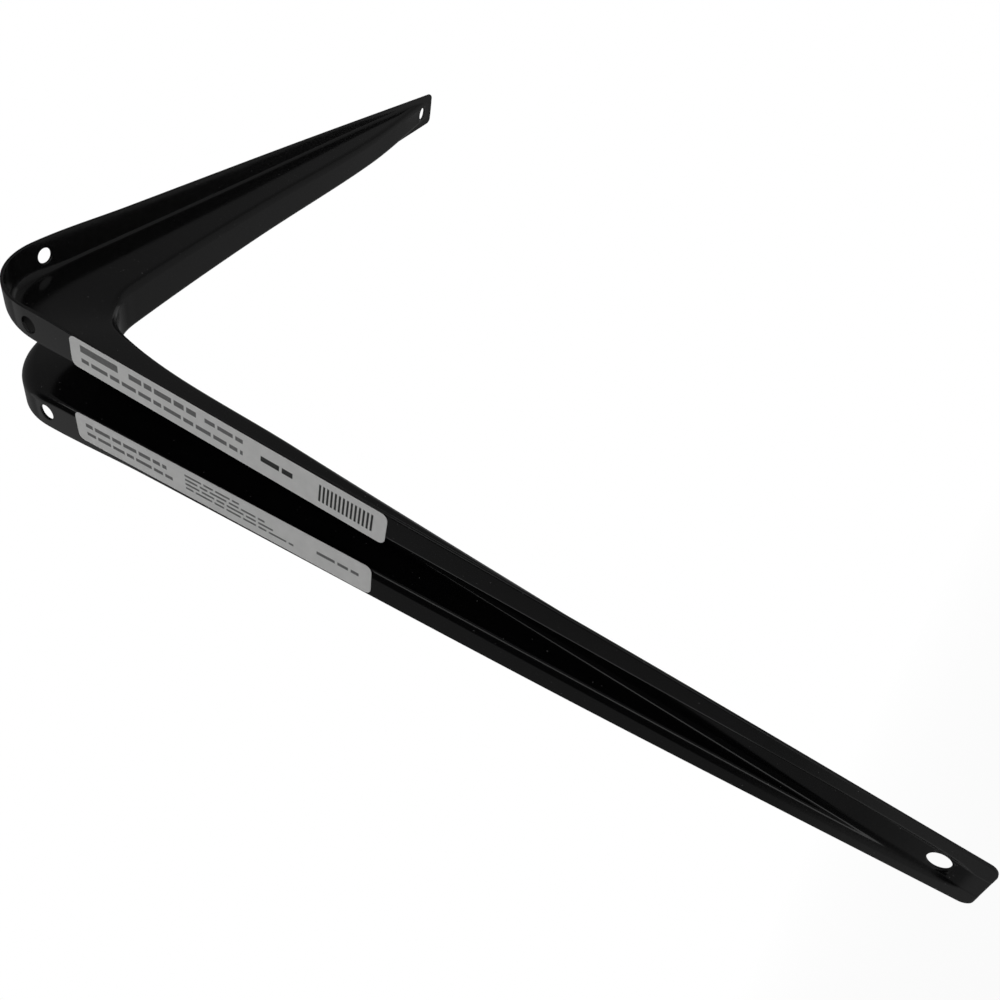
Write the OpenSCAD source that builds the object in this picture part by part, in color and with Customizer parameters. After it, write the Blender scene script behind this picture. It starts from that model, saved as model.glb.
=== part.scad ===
// Pressed sheet-steel shelf bracket: a wall leg and a shelf leg at a right angle, made as one sheet.
// The sheet is a hat section all the way: flange, channel wall, floor, channel wall, flange.
// The channel opens towards the wall and the shelf. It is deepest in the corner, behind a wide inner fillet,
// and runs out at both tips.
// Origin: midway between the two upper wall holes, on the wall face. +Z is up, +X points into the room.

/* [Legs] */
// Length of the wall leg, from the shelf face down to its tip
wall_leg = 304.8; // [240:0.1:400]
// Length of the shelf leg, from the wall face out to its tip
shelf_leg = 254; // [220:0.1:360]

/* [Sheet] */
// Thickness of the steel sheet
sheet_t = 1; // [0.8:0.05:1.4]
// Radius of the fold from flange to channel wall, on the face that meets the wall
fold_r = 2.2; // [1.8:0.1:3.4]
// Radius of that fold in the middle of the corner
corner_fold_r = 5.2; // [3.4:0.1:6]
// Radius at the foot of the channel wall, inside the channel
foot_r = 1.8; // [1:0.1:2.5]
// Lean of the channel walls away from square to the flanges, in degrees
draft = 8; // [4:0.5:11]

/* [Flanges] */
// Radius of the bend that carries the flanges round the outer corner
corner_r = 25.2; // [22:0.1:32]
// Overall width round the corner
corner_w = 43.6; // [41:0.1:50]
// Overall width at the neck, where the straight taper starts
neck_w = 38.8; // [35:0.1:42]
// Distance of the neck from the outer corner, along either leg
neck_at = 64; // [55:1:80]
// Overall width at the shoulder, where the taper quickens
shoulder_w = 27.6; // [24:0.1:32]
// Distance of the shoulder from the tip
shoulder_from_tip = 100; // [80:1:120]
// Overall width at the tip of the wall leg, before its corners are rounded
wall_tip_w = 15.1; // [13:0.1:18]
// Overall width at the tip of the shelf leg, before its corners are rounded
shelf_tip_w = 13.6; // [13:0.1:18]
// Radius of the rounded corners of the tips
tip_r = 2.4; // [1:0.1:4]

/* [Channel] */
// Radius of the fillet in the inner corner of the legs
inner_r = 24; // [20:0.5:28]
// Distance of the centre of that fillet from the faces of both legs
inner_at = 46; // [44:0.5:50]
// Lean of the channel floor where it leaves that fillet, on the wall leg, in degrees
wall_lean = 15; // [5:0.5:20]
// Lean of the channel floor where it leaves that fillet, on the shelf leg, in degrees
shelf_lean = 7; // [5:0.5:20]
// Depth of the channel floor below the flange faces at the waist
waist_depth = 14.6; // [12:0.1:17]
// Distance of the waist from the outer corner, along either leg
waist_at = 110; // [90:1:130]
// Distance from the tip at which the floor starts to ramp up
ramp_from_tip = 60; // [45:1:70]
// Depth of the channel floor at the foot of the ramp, on the wall leg
wall_ramp_depth = 4.6; // [2:0.1:8]
// Depth of the channel floor at the foot of the ramp, on the shelf leg
shelf_ramp_depth = 9; // [4:0.1:11]
// Depth of the shallow dish round each tip hole
dish_depth = 0.9; // [0.4:0.1:1.6]
// Distance from the tip at which the dish has run out
runout_from_tip = 3; // [2:0.1:4.5]
// Flat width of the channel floor where it leaves that fillet
corner_floor_w = 10; // [8:0.1:11]
// Flat width of the channel floor in the middle of the corner
diagonal_floor_w = 8.6; // [7:0.1:10]
// Flat width of the channel floor at the tips
tip_floor_w = 5.4; // [5:0.1:6.5]

/* [Screw holes] */
// Diameter of every screw hole
hole_d = 5.2; // [4:0.1:5.6]
// Distance across the channel between the two holes of a pair by the corner
hole_pair_pitch = 32; // [30:0.1:35]
// Drop of the upper wall holes below the shelf face
wall_hole_drop = 26; // [25:0.1:40]
// Distance of the rear shelf holes from the wall face
shelf_hole_reach = 28.5; // [26:0.1:40]
// Distance of the lower wall hole from the tip of the wall leg
wall_tip_hole = 10; // [8:0.1:14]
// Distance of the front shelf hole from the tip of the shelf leg
shelf_tip_hole = 9; // [8:0.1:14]

/* [Labels] */
// Length of a paper label
label_len = 108; // [60:0.5:120]
// Width of a paper label
label_w = 10.3; // [6:0.1:11]
// Thickness of the label paper
label_t = 0.12; // [0.08:0.01:0.2]
// Radius of the corners of a label
label_r = 2; // [0.5:0.1:3]
// Distance of the left label from the shelf face
left_label_from_shelf = 43; // [38:0.1:60]
// Distance of the right label from the shelf face
right_label_from_shelf = 39.7; // [38:0.1:60]
// Gap from the flange edge to the left label, at its upper end
left_label_upper_gap = 0.2; // [0.1:0.1:3]
// Gap from the flange edge to the left label, at its lower end
left_label_lower_gap = 0.2; // [0.1:0.1:3]
// Gap from the flange edge to the right label, at its upper end
right_label_upper_gap = 2.7; // [0.1:0.1:3]
// Gap from the flange edge to the right label, at its lower end
right_label_lower_gap = 0.6; // [0.1:0.1:3]

/* [Hidden] */
$fn = 48;

// Steps that the loft takes round half of the corner, along each stretch of a leg, round a tip and round a fold
corner_steps = 10;
neck_steps = 4;
body_steps = 8;
ramp_steps = 8;
dish_steps = 5;
tip_steps = 6;
fold_steps = 5;
foot_steps = 4;

// Steepest turn of a fold, and the least one, which leaves the tip flat to within a tenth of a millimetre
full_turn = 90 - draft;
least_turn = 10;
// Least width of flange that the channel leaves on either side
least_flange = 0.5;
// How far a cutter runs past the sheet on either side
cutter_over = 4;

// A leg is described by its length, the place of its tip hole, the channel depth at the foot of its ramp,
// the lean of its floor where it leaves the inner fillet, and its width at the tip.
wall = [wall_leg, wall_tip_hole, wall_ramp_depth, wall_lean, wall_tip_w];
shelf = [shelf_leg, shelf_tip_hole, shelf_ramp_depth, shelf_lean, shelf_tip_w];

// Place along a leg where the floor leaves the inner fillet, and its depth there
function root_at(leg) = inner_at - inner_r * sin(leg[3]);
function root_depth(leg) = inner_at - inner_r * cos(leg[3]) - sheet_t;

// Curves of size against distance from the outer corner, each given by a few [distance, size, slope] knots.
// The slope may be left out.
function width_knots(leg) = [
    [corner_r, corner_w, 0],
    [neck_at, neck_w],
    [leg[0] - shoulder_from_tip, shoulder_w],
    [leg[0], leg[4]]
];
function depth_knots(leg) = [
    [root_at(leg), root_depth(leg), -tan(leg[3])],
    [waist_at, waist_depth],
    [leg[0] - ramp_from_tip, leg[2]],
    [leg[0] - leg[1], dish_depth],
    [leg[0] - runout_from_tip, 0],
    [leg[0], 0]
];
function floor_knots(leg) = [
    [root_at(leg), corner_floor_w],
    [leg[0], tip_floor_w]
];

// Slope of a curve at a knot: the one given, or else the mean over the spans that meet there
function knot_slope(k, i) =
    len(k[i]) > 2 ? k[i][2] :
    let (a = max(i - 1, 0), b = min(i + 1, len(k) - 1))
    (k[b][1] - k[a][1]) / (k[b][0] - k[a][0]);
function span_of(k, s, i = 0) = i >= len(k) - 2 || s < k[i + 1][0] ? i : span_of(k, s, i + 1);
// Smooth curve through the knots, a cubic on each span
function curve(k, s) =
    let (
        i = span_of(k, s),
        h = k[i + 1][0] - k[i][0],
        u = (s - k[i][0]) / h,
        m0 = knot_slope(k, i) * h,
        m1 = knot_slope(k, i + 1) * h,
        rise = k[i + 1][1] - k[i][1]
    )
    k[i][1] + m0 * u + (3 * rise - 2 * m0 - m1) * u * u + (m0 + m1 - 2 * rise) * u * u * u;

// Half of the overall width, with the tip's corners rounded
function half_w(leg, s) =
    let (past = max(s - (leg[0] - tip_r), 0))
    curve(width_knots(leg), s) / 2 - tip_r + sqrt(max(tip_r * tip_r - past * past, 0));
// Depth of the floor, never quite nothing, so that the folds keep a form of their own to the very tip
function depth(leg, s) = max(curve(depth_knots(leg), s), (fold_r + foot_r) * (1 - cos(least_turn)));

// How far the sheet turns at the folds: as far as the draft lets it, or less where the channel is shallow
function turn(d, r = fold_r) = acos(max(1 - d / (r + foot_r), cos(full_turn)));
// Depth and width that the straight part of a channel wall takes up
function wall_fall(d, r = fold_r) = d - (r + foot_r) * (1 - cos(turn(d, r)));
function wall_run(d, r = fold_r) = wall_fall(d, r) / tan(turn(d, r));
// Half of the channel's mouth, out to where the flange turns flat
function half_mouth(d, f, r = fold_r) = f + (r + foot_r) * sin(turn(d, r)) + wall_run(d, r);
// Half of the floor's flat width, held back where the rounded tip leaves it no room
function half_floor(leg, s) =
    min(curve(floor_knots(leg), s) / 2, half_w(leg, s) - half_mouth(depth(leg, s), 0) - least_flange);

// Half section of the wall face, from flange edge to floor, as [across, depth, turn of the sheet]
function half_section(w, d, f, r) =
    let (t = turn(d, r), m = half_mouth(d, f, r))
    concat(
        [[w, 0, 0]],
        [
            for (i = [0:fold_steps])
                let (a = t * i / fold_steps)
                [m - r * sin(a), r * (1 - cos(a)), a]
        ],
        [
            for (i = [foot_steps:-1:0])
                let (a = t * i / foot_steps)
                [f + foot_r * sin(a), d - foot_r * (1 - cos(a)), a]
        ]
    );
// A point of the half section moved through the sheet by part of its thickness
function through(p, by) = [p[0] + by * sin(p[2]), p[1] + by * cos(p[2])];
// Closed section of the sheet, as [across, depth] points round both faces
function section(w, d, f, r = fold_r) =
    let (
        half = half_section(w, d, f, r),
        n = len(half),
        front = [for (p = half) through(p, 0)],
        back = [for (p = half) through(p, sheet_t)],
        other = function (list) [for (i = [n - 1:-1:0]) [-list[i][0], list[i][1]]],
        back_round = concat(back, other(back))
    )
    concat(front, other(front), [for (i = [2 * n - 1:-1:0]) back_round[i]]);

// Places a section: its origin on the flange face, with depth running along the unit vector [x, z]
function placed(points, at, inward) =
    [for (p = points) [at[0] + p[1] * inward[0], p[0], at[1] + p[1] * inward[1]]];
function leg_section(leg, s) = section(half_w(leg, s), depth(leg, s), half_floor(leg, s));

// Stations along a leg, from where the floor leaves the inner fillet to the tip
function steps(a, b, n) = [for (i = [1:n]) a + (b - a) * i / n];
function stations(leg) = concat(
    steps(root_at(leg), neck_at, neck_steps),
    steps(neck_at, leg[0] - ramp_from_tip, body_steps),
    steps(leg[0] - ramp_from_tip, leg[0] - leg[1], ramp_steps),
    steps(leg[0] - leg[1], leg[0] - tip_r, dish_steps),
    [for (i = [1:tip_steps]) leg[0] - tip_r + tip_r * sin(90 * i / tip_steps)]
);
function turned(list) = [for (i = [len(list) - 1:-1:0]) list[i]];

// Every section from the tip of the wall leg, round the corner, to the tip of the shelf leg
function wall_rings() = [for (s = turned(stations(wall))) placed(leg_section(wall, s), [0, -s], [1, 0])];
function shelf_rings() = [for (s = stations(shelf)) placed(leg_section(shelf, s), [s, 0], [0, -1])];

// The corner is a fan of sections about the centre of the inner fillet, half of it for each leg.
// A section starts on the flange face at one end of a ray and ends square to the fillet at its other end.
// The angle is that of the ray from the normal of the leg's face.
function fan_section(leg, angle) =
    let (
        out = [-cos(angle), sin(angle)],
        centre = [inner_at, -inner_at],
        bend = [corner_r, -corner_r],
        flat_s = inner_at * (1 - tan(angle)),
        on_flat = flat_s >= corner_r,
        v = centre - bend,
        reach = -v * out + sqrt(pow(v * out, 2) - v * v + corner_r * corner_r),
        face = on_flat ? [0, -flat_s] : centre + reach * out,
        face_in = on_flat ? [1, 0] : (bend - face) / corner_r,
        ridge = centre + inner_r * out,
        span = norm(ridge - face),
        share = (1 - cos(180 * (angle - leg[3]) / (45 - leg[3]))) / 2,
        floor_w = corner_floor_w + (diagonal_floor_w - corner_floor_w) * share,
        r = fold_r + (corner_fold_r - fold_r) * share
    )
    [
        for (p = section(half_w(leg, max(flat_s, corner_r)), span - sheet_t, floor_w / 2, r))
            let (
                u = p[1] / span,
                at = (1 - u) * (1 - u) * (1 + 2 * u) * face + u * u * (3 - 2 * u) * ridge
                    + u * (1 - u) * (1 - u) * span * face_in + u * u * (1 - u) * span * out
            )
            [at[0], p[0], at[1]]
    ];
function fan(leg, first, last) =
    [for (i = [first:last]) fan_section(leg, leg[3] + (45 - leg[3]) * i / corner_steps)];
// Across the diagonal of the corner, which turns one leg's section into the other's
function across(ring) = [for (p = ring) [-p[2], p[1], -p[0]]];
function corner_rings() = concat(
    fan(wall, 0, corner_steps),
    [for (ring = turned(fan(shelf, 0, corner_steps - 1))) across(ring)]
);

// Skin through a list of rings, closed by a cap of strips at each end
module loft(rings) {
    n = len(rings[0]);
    last = (len(rings) - 1) * n;
    skin = [
        for (r = [0:len(rings) - 2], i = [0:n - 1])
            let (a = r * n + i, b = r * n + (i + 1) % n)
            each [[a, b, b + n], [a, b + n, a + n]]
    ];
    caps = [
        for (i = [0:n / 2 - 2])
            let (j = n - 1 - i)
            each [
                [i, j, i + 1],
                [i + 1, j, j - 1],
                [last + i, last + i + 1, last + j],
                [last + i + 1, last + j - 1, last + j]
            ]
    ];
    polyhedron(points = [for (r = rings) each r], faces = concat(skin, caps));
}

// Cutter for a screw hole that runs along the direction [x, z] from a flange face
module hole_cutter(at, across, inward) {
    reach = dish_depth + sheet_t + 2 * cutter_over;
    translate([at[0] - cutter_over * inward[0], across, at[1] - cutter_over * inward[1]])
        rotate([0, inward[0] > 0 ? 90 : 180, 0])
            cylinder(d = hole_d, h = reach);
}

module screw_holes() {
    for (side = [-1, 1]) {
        hole_cutter([0, -wall_hole_drop], side * hole_pair_pitch / 2, [1, 0]);
        hole_cutter([shelf_hole_reach, 0], side * hole_pair_pitch / 2, [0, -1]);
    }
    hole_cutter([0, -(wall_leg - wall_tip_hole)], 0, [1, 0]);
    hole_cutter([shelf_leg - shelf_tip_hole, 0], 0, [0, -1]);
}

// Moves the origin from the outer corner of the two faces to the upper wall holes
module from_corner() {
    translate([0, 0, wall_hole_drop]) children();
}

module bracket() {
    color([0.035, 0.035, 0.04])
        from_corner()
            difference() {
                loft(concat(wall_rings(), corner_rings(), shelf_rings()));
                screw_holes();
            }
}

// Flat outline of a label with its upper outer corner at the origin, running along +X, its width along -Y
module label_outline() {
    inner = [label_len - 2 * label_r, label_w - 2 * label_r];
    translate([0, -label_w + label_r]) square([label_len, inner[1]]);
    translate([label_r, -label_w]) square([inner[0], label_w]);
    for (x = [label_r, label_len - label_r], y = [-label_r, -label_w + label_r])
        translate([x, y]) circle(r = label_r);
}

// Label on the wall face of one flange, on the side of +Y for side = 1 and of -Y for side = -1
module label(side, from_shelf, upper_gap, lower_gap) {
    upper = half_w(wall, from_shelf) - upper_gap;
    lower = half_w(wall, from_shelf + label_len) - lower_gap;
    slant = asin((upper - lower) / label_len);
    color([0.93, 0.93, 0.92])
        from_corner()
            on_side(side)
                translate([-label_t, upper, -from_shelf])
                    rotate([0, 90, 0])
                        rotate([0, 0, -slant])
                            linear_extrude(label_t) label_outline();
}

// Leaves the right side as it is and mirrors the left side from it
module on_side(side) {
    if (side > 0) children();
    else mirror([0, 1, 0]) children();
}

module left_label() {
    label(-1, left_label_from_shelf, left_label_upper_gap, left_label_lower_gap);
}

module right_label() {
    label(1, right_label_from_shelf, right_label_upper_gap, right_label_lower_gap);
}

bracket();
left_label();
right_label();
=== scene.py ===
"""Looks of a pressed steel shelf bracket: fine skin with rounded edges, gloss black paint, paper labels."""
from math import acos, asin, cos, pi, radians, sin, sqrt, tan

import bmesh
import bpy
from mathutils import Matrix, Vector


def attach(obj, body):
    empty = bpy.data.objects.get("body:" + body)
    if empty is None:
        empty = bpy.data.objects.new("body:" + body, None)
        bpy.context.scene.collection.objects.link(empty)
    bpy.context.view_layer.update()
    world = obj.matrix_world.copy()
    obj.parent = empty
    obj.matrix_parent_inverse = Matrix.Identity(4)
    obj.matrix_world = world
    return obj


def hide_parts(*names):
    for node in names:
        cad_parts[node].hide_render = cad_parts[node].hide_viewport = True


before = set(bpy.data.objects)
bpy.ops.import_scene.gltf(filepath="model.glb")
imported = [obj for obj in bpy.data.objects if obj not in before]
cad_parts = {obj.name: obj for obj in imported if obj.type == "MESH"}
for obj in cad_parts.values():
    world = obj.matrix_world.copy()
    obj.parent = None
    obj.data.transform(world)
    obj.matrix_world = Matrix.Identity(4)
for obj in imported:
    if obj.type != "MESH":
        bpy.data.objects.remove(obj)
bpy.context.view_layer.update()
MM = 0.001

# Sizes in millimetres, as the part is built; distances run along a leg from the outer corner.
SHEET = 1.0
FOLD_R, CORNER_FOLD_R, FOOT_R, DRAFT = 2.2, 5.2, 1.8, 8.0
CORNER_R, CORNER_W, NECK_W, NECK_AT = 25.2, 43.6, 38.8, 64.0
SHOULDER_W, SHOULDER, TIP_R = 27.6, 100.0, 2.4
INNER_R, INNER_AT, WAIST_DEPTH, WAIST_AT = 24.0, 46.0, 14.6, 110.0
RAMP, DISH, RUNOUT = 60.0, 0.9, 3.0
CORNER_FLOOR, DIAGONAL_FLOOR, TIP_FLOOR = 10.0, 8.6, 5.4
HOLE_D, HOLE_PITCH, WALL_HOLE, SHELF_HOLE = 5.2, 32.0, 26.0, 28.5
WALL = {"length": 304.8, "hole": 10.0, "ramp_depth": 4.6, "lean": radians(15), "tip_w": 15.1}
SHELF = {"length": 254.0, "hole": 9.0, "ramp_depth": 9.0, "lean": radians(7), "tip_w": 13.6}
LABEL_LEN, LABEL_T = 108.0, 0.12
LEFT_LABEL = {"side": -1, "start": 43.0, "gaps": (0.2, 0.2)}
RIGHT_LABEL = {"side": 1, "start": 39.7, "gaps": (2.7, 0.6)}
LEAST_TURN, LEAST_FLANGE = radians(10), 0.5
FULL_TURN = radians(90 - DRAFT)

# Radius to which paint rounds every cut edge of the sheet, and the least of it at a tip's end.
EDGE_R, LEAST_EDGE_R = 0.32, 0.02

# Fineness of the skin: steps round a fold, a foot and a cut edge.
FOLD_STEPS, FOOT_STEPS, EDGE_STEPS = 10, 8, 4
# Sections: spacing along a leg, a finer zone by its tip and its steps, then steps round tip and corner.
LEG_STEP, TIP_ZONE, TIP_STEPS, TIP_ROUND_STEPS, FAN_STEPS = 1.6, 16, 16, 8, 30
# Points closer than this, in metres, are merged.
MERGE_M = 2e-6
# The cutters of the holes: sides, steps of the rounded rim, and how far they reach past the sheet.
HOLE_SIDES, LIP_STEPS, CUT_REACH = 64, 6, 3.0

# Generic print, in millimetres along a label from its upper end and across it from its outer edge.
INK_T, HATCH_PITCH = 0.02, 1.25
DASH_LENGTHS, DASH_GAP = (4.6, 2.8, 6.1, 3.5, 5.2), 0.9
GREY, DARK = 0, 1

# Stage, in metres.
FLOOR_X, FLOOR_Z, FLOOR_R, FLOOR_SIDES = 0.1, -0.42, 4.0, 96
FLOOR_TONE, FLOOR_ROUGHNESS = 0.8, 0.9
# Share of white that the camera sees in the floor, near the part and far from it,
# and the distances between which it rises.
NEAR_WHITE, FAR_WHITE, NEAR_M, FAR_M = 0.94, 1.0, 0.5, 1.5
# Share of white in reflections of the floor and of the world.
FLOOR_GLOSSY, WORLD_GLOSSY = 0.02, 0.005
# The surround for light and reflections, and its darker side, with that side's axis
# and the cosines between which it falls off.
SURROUND, DARK_SIDE = 0.12, 0.015
DARK_AXIS, DARK_FROM, DARK_TO = (-0.966, -0.259, 0), 0.45, 0.65

# Soft boxes: place, the point each faces, width and height, and watts.
KEY_BOX = ((-0.93, -0.6, 0.9), (0.05, 0, -0.1), (1.2, 1.2), 8.4)
DIM_BOXES = {
    "top_box": ((-0.65, 0.67, 0.92), (0.0, 0, 0.0), (0.7, 0.7), 0.26),
    "front_box": ((-0.5, -0.8, 0.25), (0.0, 0, 0.25), (0.2, 1.3), 0.9),
    "right_box": ((0.15, 1.4, 0.12), (0.15, 0, -0.05), (1.1, 0.8), 0.6),
    "left_box": ((0.25, -1.4, 0.02), (0.15, 0, -0.05), (0.8, 0.8), 1.3),
    "back_box": ((1.5, 0.12, 0.15), (0.1, 0, 0.0), (0.8, 0.8), 0.4),
}

# Camera fitted to the photograph: its square frame, focal length and optical centre in pixels.
FRAME_PX, FOCAL_PX, CENTRE_PX = 1000, 989.39, (473.70, 491.61)
SENSOR_MM, NEAR_CLIP = 36.0, 0.01
# Where it stands, in metres, and the directions of its frame.
EYE = (-0.149894, -0.188174, -0.214597)
RIGHT = (0.51230704, -0.12594825, -0.84951665)
DOWN = (-0.53546861, 0.72651933, -0.43063097)
AHEAD = (0.67142748, 0.67550478, 0.30475964)


def curve(knots, s):
    """Smooth curve through (distance, size) knots, which may carry a slope as well."""
    last = len(knots) - 1
    i = 0
    while i < last - 1 and s >= knots[i + 1][0]:
        i += 1

    def slope(j):
        if len(knots[j]) > 2:
            return knots[j][2]
        a, b = knots[max(j - 1, 0)], knots[min(j + 1, last)]
        return (b[1] - a[1]) / (b[0] - a[0])

    (x0, y0), (x1, y1) = knots[i][:2], knots[i + 1][:2]
    h, rise = x1 - x0, y1 - y0
    u = (s - x0) / h
    m0, m1 = slope(i) * h, slope(i + 1) * h
    return y0 + m0 * u + (3 * rise - 2 * m0 - m1) * u ** 2 + (m0 + m1 - 2 * rise) * u ** 3


def half_width(leg, s):
    """Half of the flange's width at a place along a leg, rounded in at the tip."""
    end = leg["length"]
    knots = [(CORNER_R, CORNER_W, 0), (NECK_AT, NECK_W), (end - SHOULDER, SHOULDER_W), (end, leg["tip_w"])]
    past = max(s - (end - TIP_R), 0)
    return curve(knots, s) / 2 - TIP_R + sqrt(max(TIP_R ** 2 - past ** 2, 0))


def root_at(leg):
    """Place along a leg where the channel floor leaves the inner fillet."""
    return INNER_AT - INNER_R * sin(leg["lean"])


def depth(leg, s):
    """Depth of the channel at a place along a leg, never quite nothing."""
    end = leg["length"]
    root = (root_at(leg), INNER_AT - INNER_R * cos(leg["lean"]) - SHEET, -tan(leg["lean"]))
    knots = [root, (WAIST_AT, WAIST_DEPTH), (end - RAMP, leg["ramp_depth"]),
             (end - leg["hole"], DISH), (end - RUNOUT, 0), (end, 0)]
    return max(curve(knots, s), (FOLD_R + FOOT_R) * (1 - cos(LEAST_TURN)))


def fold(d, r=FOLD_R):
    """Turn of the sheet at folds of radius r, and how far a wall spreads past the floor, for a depth d."""
    turn = acos(max(1 - d / (r + FOOT_R), cos(FULL_TURN)))
    fall = d - (r + FOOT_R) * (1 - cos(turn))
    return turn, (r + FOOT_R) * sin(turn) + fall / tan(turn)


def section(w, d, f, r=FOLD_R, inset=0.0):
    """Closed ring of (across, depth) points; inset draws the faces and edges in, to round a tip's end."""
    turn, rise = fold(d, r)
    m = f + rise
    half = []
    for i in range(FOLD_STEPS + 1):
        a = turn * i / FOLD_STEPS
        half.append((m - r * sin(a), r * (1 - cos(a)), a))
    for i in range(FOOT_STEPS, -1, -1):
        a = turn * i / FOOT_STEPS
        half.append((f + FOOT_R * sin(a), d - FOOT_R * (1 - cos(a)), a))
    front = [(y + inset * sin(a), z + inset * cos(a)) for y, z, a in half]
    back = [(y + (SHEET - inset) * sin(a), z + (SHEET - inset) * cos(a)) for y, z, a in half]
    e = max(EDGE_R - inset, LEAST_EDGE_R)
    arc = [radians(90 * i / EDGE_STEPS) for i in range(EDGE_STEPS + 1)]
    edge = [(w - e + e * cos(a), SHEET - inset - e + e * sin(a)) for a in reversed(arc)]
    edge += [(w - e + e * sin(a), inset + e - e * cos(a)) for a in reversed(arc)]
    half_ring = list(reversed(back)) + edge + front
    return half_ring + [(-y, z) for y, z in reversed(half_ring)]


def leg_section(leg, s, inset):
    w, d = half_width(leg, s) - inset, depth(leg, s)
    floor_w = curve([(root_at(leg), CORNER_FLOOR), (leg["length"], TIP_FLOOR)], s)
    return section(w, d, min(floor_w / 2, w - fold(d)[1] - LEAST_FLANGE), inset=inset)


def stations(leg):
    """Distances along a leg with the inset at each: finer by the tip, whose end is rounded."""
    end = leg["length"]
    out, s = [], root_at(leg)
    while s < end - TIP_ZONE:
        s += LEG_STEP
        out.append((s, 0.0))
    a, b = s, end - TIP_R
    out += [(a + (b - a) * i / TIP_STEPS, 0.0) for i in range(1, TIP_STEPS + 1)]
    for i in range(1, TIP_ROUND_STEPS + 1):
        out.append((b + (end - EDGE_R - b) * sin(radians(90 * i / TIP_ROUND_STEPS)), 0.0))
    for i in range(1, EDGE_STEPS + 1):
        a = radians(90 * i / EDGE_STEPS)
        out.append((end - EDGE_R + EDGE_R * sin(a), EDGE_R * (1 - cos(a))))
    return out


def row(x, y, z):
    """Row-frame point in metres, from millimetres whose origin is the outer corner."""
    return Vector((x * MM, y * MM, (z + WALL_HOLE) * MM))


def place(ring, at, inward):
    """Points of a ring whose origin is on the flange face and whose depth runs inward."""
    return [row(at[0] + z * inward[0], y, at[1] + z * inward[1]) for y, z in ring]


def fan_ring(leg, angle):
    """Section on a ray from the centre of the inner fillet, square to the flange face and to the fillet."""
    out = Vector((-cos(angle), sin(angle)))
    centre, bend = Vector((INNER_AT, -INNER_AT)), Vector((CORNER_R, -CORNER_R))
    s = INNER_AT * (1 - tan(angle))
    if s >= CORNER_R:
        face, face_in = Vector((0, -s)), Vector((1, 0))
    else:
        v = centre - bend
        face = centre + out * (sqrt(v.dot(out) ** 2 - v.dot(v) + CORNER_R ** 2) - v.dot(out))
        face_in = (bend - face) / CORNER_R
    ridge = centre + INNER_R * out
    span = (ridge - face).length
    share = (1 - cos(pi * (angle - leg["lean"]) / (pi / 4 - leg["lean"]))) / 2
    floor_w = CORNER_FLOOR + (DIAGONAL_FLOOR - CORNER_FLOOR) * share
    fold_r = FOLD_R + (CORNER_FOLD_R - FOLD_R) * share
    points = []
    for y, z in section(half_width(leg, max(s, CORNER_R)), span - SHEET, floor_w / 2, fold_r):
        u = z / span
        at = (1 - u) ** 2 * (1 + 2 * u) * face + u * u * (3 - 2 * u) * ridge
        at += span * (u * (1 - u) ** 2 * face_in + u * u * (1 - u) * out)
        points.append(row(at.x, y, at.y) if leg is WALL else row(-at.y, y, -at.x))
    return points


def fan(leg):
    """Sections of one leg's half of the corner, from the leg to just short of the diagonal."""
    return [fan_ring(leg, leg["lean"] + (pi / 4 - leg["lean"]) * i / FAN_STEPS) for i in range(FAN_STEPS)]


def new_object(name, verts, faces, smooth=True):
    mesh = bpy.data.meshes.new(name)
    mesh.from_pydata(verts, [], faces)
    mesh.polygons.foreach_set("use_smooth", [smooth] * len(mesh.polygons))
    mesh.update()
    obj = bpy.data.objects.new(name, mesh)
    bpy.context.scene.collection.objects.link(obj)
    return obj


def loft():
    """The bracket without its holes: one skin through all the sections, from tip to tip."""
    rings = [place(leg_section(WALL, s, i), (0, -s), (1, 0)) for s, i in reversed(stations(WALL))]
    rings += fan(WALL) + [fan_ring(WALL, pi / 4)] + fan(SHELF)[::-1]
    rings += [place(leg_section(SHELF, s, i), (s, 0), (0, -1)) for s, i in stations(SHELF)]
    n = len(rings[0])
    verts = [v for ring in rings for v in ring]
    faces = []
    for r in range(len(rings) - 1):
        for i in range(n):
            a, b = r * n + i, r * n + (i + 1) % n
            faces.append((a, b, b + n, a + n))
    half = n // 2
    last = len(verts) - n
    for i in range(half - 1):
        j = n - 1 - i
        faces.append((j, j - 1, i + 1, i))
        faces.append((last + i, last + i + 1, last + j - 1, last + j))
    obj = new_object("bracket_skin", verts, faces)
    # Where the channel is shallow its walls have no straight part, so fold and foot end at one point.
    mesh = bmesh.new()
    mesh.from_mesh(obj.data)
    bmesh.ops.remove_doubles(mesh, verts=mesh.verts, dist=MERGE_M)
    mesh.to_mesh(obj.data)
    mesh.free()
    return obj


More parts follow.
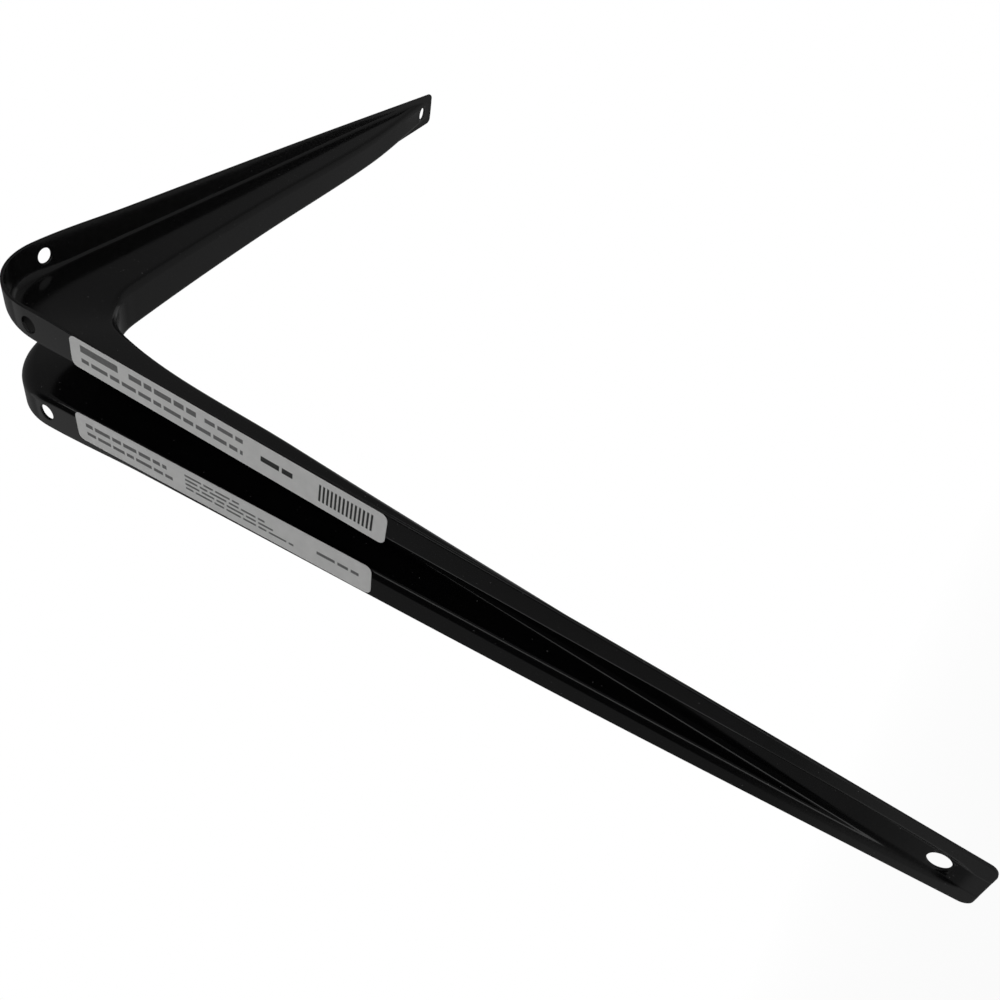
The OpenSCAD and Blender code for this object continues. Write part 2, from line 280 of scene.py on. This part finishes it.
def hole_cutters():
    """Round cutters that flare where they leave the sheet, so that the paint's edge is rounded there too."""
    verts, faces = [], []
    r, e = HOLE_D / 2, EDGE_R
    spots = [((0, y, -WALL_HOLE), (1, 0), 0.0) for y in (-HOLE_PITCH / 2, HOLE_PITCH / 2)]
    spots += [((SHELF_HOLE, y, 0), (0, -1), 0.0) for y in (-HOLE_PITCH / 2, HOLE_PITCH / 2)]
    spots.append(((0, 0, -(WALL["length"] - WALL["hole"])), (1, 0), DISH))
    spots.append(((SHELF["length"] - SHELF["hole"], 0, 0), (0, -1), DISH))
    arc = [radians(90 * i / LIP_STEPS) for i in range(LIP_STEPS + 1)]
    lip = [(e * (1 - sin(a)), e * (1 - cos(a))) for a in arc]
    for (x, y, z), (ix, iz), sunk in spots:
        profile = [(r + e, sunk - CUT_REACH)]
        profile += [(r + out, sunk + down) for out, down in lip]
        profile += [(r + out, sunk + SHEET - down) for out, down in reversed(lip)]
        profile += [(r + e, sunk + SHEET + CUT_REACH)]
        base = len(verts)
        for rad, dep in profile:
            for k in range(HOLE_SIDES):
                a = 2 * pi * k / HOLE_SIDES
                u, v = rad * cos(a), rad * sin(a)
                px = x + dep * ix + (u if iz else 0)
                pz = z + dep * iz + (u if ix else 0)
                verts.append(row(px, y + v, pz))
        for p in range(len(profile) - 1):
            for k in range(HOLE_SIDES):
                a, b = base + p * HOLE_SIDES + k, base + p * HOLE_SIDES + (k + 1) % HOLE_SIDES
                faces.append((a, a + HOLE_SIDES, b + HOLE_SIDES, b))
        faces.append(tuple(base + k for k in range(HOLE_SIDES)))
        faces.append(tuple(base + (len(profile) - 1) * HOLE_SIDES + k for k in reversed(range(HOLE_SIDES))))
    return new_object("hole_cutters", verts, faces)


def dashes(start, end, first=0):
    """Runs of a broken line between two places along a label, as a generic stand-in for a row of print."""
    runs, a, i = [], start, first
    while a < end - DASH_GAP:
        b = min(a + DASH_LENGTHS[i % len(DASH_LENGTHS)], end)
        runs.append((a, b))
        a, i = b + DASH_GAP, i + 1
    return runs


def hatch(start, count):
    """Even bars across a label, each as wide as the gap after it."""
    return [(start + HATCH_PITCH * i, start + HATCH_PITCH * (i + 0.5)) for i in range(count)]


def label_print(name, label, inks, fields):
    """Thin fields of ink on a label, each given by its runs along it, its two edges across it and its ink."""
    upper = half_width(WALL, label["start"]) - label["gaps"][0]
    lower = half_width(WALL, label["start"] + LABEL_LEN) - label["gaps"][1]
    slant = asin((upper - lower) / LABEL_LEN)
    quads = [(0, 1, 2, 3), (7, 6, 5, 4)] + [(i, i + 4, (i + 1) % 4 + 4, (i + 1) % 4) for i in range(4)]
    outward = quads if label["side"] < 0 else [q[::-1] for q in quads]
    verts, faces, ink_of_face = [], [], []
    for runs, outer, inner, ink in fields:
        for start, end in runs:
            base = len(verts)
            for height in (-INK_T, INK_T):
                for along, across in ((start, outer), (end, outer), (end, inner), (start, inner)):
                    down = along * cos(slant) - across * sin(slant)
                    out = upper - along * sin(slant) - across * cos(slant)
                    verts.append(row(-LABEL_T - height, label["side"] * out, -label["start"] - down))
            faces += [tuple(base + i for i in q) for q in outward]
            ink_of_face += [ink] * len(quads)
    obj = new_object(name, verts, faces, False)
    for material in inks:
        obj.data.materials.append(material)
    obj.data.polygons.foreach_set("material_index", ink_of_face)
    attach(obj, "root")


def nodes_of(name):
    mat = bpy.data.materials.new(name)
    mat.use_nodes = True
    tree = mat.node_tree
    return mat, tree.nodes, tree.links, tree.nodes["Principled BSDF"]


def noise(nodes, links, scale, detail):
    """Noise in the object's own metres, so that a scale of 1000 is about a millimetre."""
    coord = nodes.new("ShaderNodeTexCoord")
    tex = nodes.new("ShaderNodeTexNoise")
    tex.inputs["Scale"].default_value = scale
    tex.inputs["Detail"].default_value = detail
    links.new(coord.outputs["Object"], tex.inputs["Vector"])
    return tex.outputs["Fac"]


def ramp(nodes, links, value, low, high, start, end):
    """A value between low and high spread from start to end, and held there beyond."""
    out = nodes.new("ShaderNodeMapRange")
    out.inputs["From Min"].default_value = low
    out.inputs["From Max"].default_value = high
    out.inputs["To Min"].default_value = start
    out.inputs["To Max"].default_value = end
    links.new(value, out.inputs["Value"])
    return out.outputs["Result"]


def uneven(nodes, links, scale, detail, start=0.0, end=1.0):
    """Soft noise over the surface, spread from start to end."""
    return ramp(nodes, links, noise(nodes, links, scale, detail), low=0.3, high=0.7, start=start, end=end)


def mix_colour(nodes, links, factor, first, second):
    mix = nodes.new("ShaderNodeMix")
    mix.data_type = "RGBA"
    links.new(factor, mix.inputs[0])
    mix.inputs[6].default_value = (*first, 1)
    mix.inputs[7].default_value = (*second, 1)
    return mix.outputs[2]


def add_bump(nodes, links, bsdf, height, strength, distance):
    bump = nodes.new("ShaderNodeBump")
    bump.inputs["Strength"].default_value = strength
    bump.inputs["Distance"].default_value = distance
    links.new(height, bump.inputs["Height"])
    links.new(bump.outputs["Normal"], bsdf.inputs["Normal"])


def black_paint():
    """Gloss black paint: fine orange peel, slightly uneven gloss and a few specks of dust."""
    mat, nodes, links, bsdf = nodes_of("black_paint")
    specks = noise(nodes, links, scale=1500, detail=0.0)
    dust = ramp(nodes, links, specks, low=0.84, high=0.87, start=0.0, end=1.0)
    tone = mix_colour(nodes, links, dust, (0.002, 0.002, 0.0022), (0.07, 0.07, 0.07))
    links.new(tone, bsdf.inputs["Base Color"])
    links.new(uneven(nodes, links, scale=70, detail=4.0, start=0.11, end=0.16), bsdf.inputs["Roughness"])
    bsdf.inputs["Specular IOR Level"].default_value = 0.5
    add_bump(nodes, links, bsdf, noise(nodes, links, scale=900, detail=2.0), strength=0.12, distance=0.00004)
    return mat


def label_paper():
    """Coated white paper, a little uneven in tone."""
    mat, nodes, links, bsdf = nodes_of("label_paper")
    cloud = uneven(nodes, links, scale=260, detail=6.0)
    tone = mix_colour(nodes, links, cloud, (0.77, 0.77, 0.76), (0.83, 0.83, 0.82))
    links.new(tone, bsdf.inputs["Base Color"])
    links.new(uneven(nodes, links, scale=900, detail=3.0, start=0.5, end=0.62), bsdf.inputs["Roughness"])
    add_bump(nodes, links, bsdf, noise(nodes, links, scale=2500, detail=4.0), strength=0.15, distance=0.00003)
    return mat


def ink_of(name, low, high):
    """Matt printing ink that covers the paper a little unevenly."""
    mat, nodes, links, bsdf = nodes_of(name)
    cover = uneven(nodes, links, scale=1800, detail=3.0)
    links.new(mix_colour(nodes, links, cover, (low,) * 3, (high,) * 3), bsdf.inputs["Base Color"])
    bsdf.inputs["Roughness"].default_value = 0.55
    return mat


def camera_white(tree, glossy_share, white_share=None):
    """Factor of white: whole or a share for rays from the camera or through glass, a little for gloss."""
    path = tree.nodes.new("ShaderNodeLightPath")
    straight = tree.nodes.new("ShaderNodeMath")
    straight.operation = "MAXIMUM"
    tree.links.new(path.outputs["Is Camera Ray"], straight.inputs[0])
    tree.links.new(path.outputs["Is Transmission Ray"], straight.inputs[1])
    seen = tree.nodes.new("ShaderNodeMath")
    seen.operation = "MULTIPLY"
    seen.inputs[1].default_value = 1.0
    if white_share:
        tree.links.new(white_share, seen.inputs[1])
    tree.links.new(straight.outputs[0], seen.inputs[0])
    both = tree.nodes.new("ShaderNodeMath")
    both.operation = "MULTIPLY_ADD"
    both.inputs[1].default_value = glossy_share
    tree.links.new(path.outputs["Is Glossy Ray"], both.inputs[0])
    tree.links.new(seen.outputs[0], both.inputs[2])
    return both.outputs[0]


def floor_material():
    """Pale floor, nearly white to the camera, so that the shadow stays on it.

    Farther out it is quite white, so that its rim doesn't show against the world.
    """
    mat, nodes, links, bsdf = nodes_of("floor")
    bsdf.inputs["Base Color"].default_value = (FLOOR_TONE, FLOOR_TONE, FLOOR_TONE, 1)
    bsdf.inputs["Roughness"].default_value = FLOOR_ROUGHNESS
    white = nodes.new("ShaderNodeEmission")
    white.inputs["Strength"].default_value = 1.0
    spot = nodes.new("ShaderNodeNewGeometry")
    reach = nodes.new("ShaderNodeVectorMath")
    reach.operation = "LENGTH"
    links.new(spot.outputs["Position"], reach.inputs[0])
    share = ramp(nodes, links, reach.outputs["Value"], NEAR_M, FAR_M, NEAR_WHITE, FAR_WHITE)
    blend = nodes.new("ShaderNodeMixShader")
    links.new(camera_white(mat.node_tree, FLOOR_GLOSSY, share), blend.inputs[0])
    links.new(bsdf.outputs["BSDF"], blend.inputs[1])
    links.new(white.outputs["Emission"], blend.inputs[2])
    links.new(blend.outputs[0], nodes["Material Output"].inputs["Surface"])
    return mat


def studio_world():
    """White to the camera; for light and reflections a dim surround, darker on the camera's side."""
    world = bpy.data.worlds.new("studio")
    world.use_nodes = True
    tree = world.node_tree
    tree.nodes.clear()
    coord = tree.nodes.new("ShaderNodeTexCoord")
    facing = tree.nodes.new("ShaderNodeVectorMath")
    facing.operation = "DOT_PRODUCT"
    facing.inputs[1].default_value = DARK_AXIS
    tree.links.new(coord.outputs["Generated"], facing.inputs[0])
    level = ramp(tree.nodes, tree.links, facing.outputs["Value"], DARK_FROM, DARK_TO, SURROUND, DARK_SIDE)
    dim = tree.nodes.new("ShaderNodeBackground")
    dim.inputs["Color"].default_value = (1, 1, 1, 1)
    tree.links.new(level, dim.inputs["Strength"])
    bright = tree.nodes.new("ShaderNodeBackground")
    bright.inputs["Color"].default_value = (1, 1, 1, 1)
    bright.inputs["Strength"].default_value = 1.0
    mixed = tree.nodes.new("ShaderNodeMixShader")
    tree.links.new(camera_white(tree, WORLD_GLOSSY), mixed.inputs[0])
    tree.links.new(dim.outputs[0], mixed.inputs[1])
    tree.links.new(bright.outputs[0], mixed.inputs[2])
    tree.links.new(mixed.outputs[0], tree.nodes.new("ShaderNodeOutputWorld").inputs["Surface"])
    return world


def soft_box(name, at, towards, size, power):
    lamp = bpy.data.lights.new(name, "AREA")
    lamp.shape = "RECTANGLE"
    lamp.size, lamp.size_y = size
    lamp.energy = power
    obj = bpy.data.objects.new(name, lamp)
    obj.location = at
    obj.rotation_euler = (Vector(towards) - Vector(at)).to_track_quat("-Z", "Y").to_euler()
    bpy.context.scene.collection.objects.link(obj)
    return obj


def photo_camera():
    cam = bpy.data.cameras.new("camera")
    cam.sensor_width = SENSOR_MM
    cam.lens = SENSOR_MM * FOCAL_PX / FRAME_PX
    cam.shift_x = (FRAME_PX / 2 - CENTRE_PX[0]) / FRAME_PX
    cam.shift_y = (CENTRE_PX[1] - FRAME_PX / 2) / FRAME_PX
    cam.clip_start = NEAR_CLIP
    obj = bpy.data.objects.new("camera", cam)
    turned = Matrix((RIGHT, [-v for v in DOWN], [-v for v in AHEAD])).transposed().to_4x4()
    obj.matrix_world = Matrix.Translation(EYE) @ turned
    bpy.context.scene.collection.objects.link(obj)
    return obj


# Bracket: the loft with its screw holes cut, in the place of the plain solid.
skin = loft()
cutters = hole_cutters()
cut = skin.modifiers.new("screw_holes", "BOOLEAN")
cut.operation, cut.solver, cut.object = "DIFFERENCE", "MANIFOLD", cutters
bpy.context.view_layer.update()
holed = bpy.data.meshes.new_from_object(skin.evaluated_get(bpy.context.evaluated_depsgraph_get()))
skin.modifiers.clear()
skin.data = holed
bpy.data.objects.remove(cutters)
even = skin.modifiers.new("even_shading", "WEIGHTED_NORMAL")
even.weight = 80
skin.data.materials.clear()
skin.data.materials.append(black_paint())
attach(skin, "root")
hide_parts("bracket")

# Labels: the solids as built, in paper.
paper = label_paper()
for name in ("left_label", "right_label"):
    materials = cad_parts[name].data.materials
    materials.clear()
    materials.append(paper)

# Generic print: broken lines, a plain block and an even hatch.
inks = ink_of("grey_ink", 0.16, 0.22), ink_of("dark_ink", 0.03, 0.05)
label_print("left_print", LEFT_LABEL, inks, [
    ([(4, 18)], 1.6, 4.0, GREY), (dashes(22, 46), 2.0, 3.8, GREY),
    (dashes(49, 62, 3), 2.2, 3.6, GREY), (dashes(4, 62, 1), 6.2, 7.6, GREY),
    (dashes(68, 79, 2), 4.0, 5.8, DARK), (hatch(87, 14), 2.2, 8.0, DARK)])
label_print("right_print", RIGHT_LABEL, inks, [
    (dashes(4, 36, 1), 6.1, 7.5, GREY), (dashes(4, 38, 3), 3.0, 4.2, GREY),
    (dashes(43, 63, 2), 7.5, 8.2, GREY), (dashes(43, 72), 5.9, 6.6, GREY),
    (dashes(43, 76, 4), 4.3, 5.0, GREY), (dashes(43, 82, 1), 2.7, 3.4, GREY),
    (dashes(90, 104, 2), 4.7, 5.8, GREY)])

# Stage: a pale round floor well below the tip of the wall leg.
rim = [radians(360 * i / FLOOR_SIDES) for i in range(FLOOR_SIDES)]
floor_verts = [(FLOOR_X + FLOOR_R * cos(a), FLOOR_R * sin(a), FLOOR_Z) for a in rim]
floor = new_object("floor", floor_verts, [range(FLOOR_SIDES)], False)
floor.data.materials.append(floor_material())

# Light: the key lights the paper and is kept out of reflections, which show the dim boxes and the surround.
bpy.context.scene.world = studio_world()
key = soft_box("key_box", *KEY_BOX)
key.visible_glossy = False
for name, box in DIM_BOXES.items():
    soft_box(name, *box)

bpy.context.scene.camera = photo_camera()
bpy.context.scene.view_settings.view_transform = "Standard"
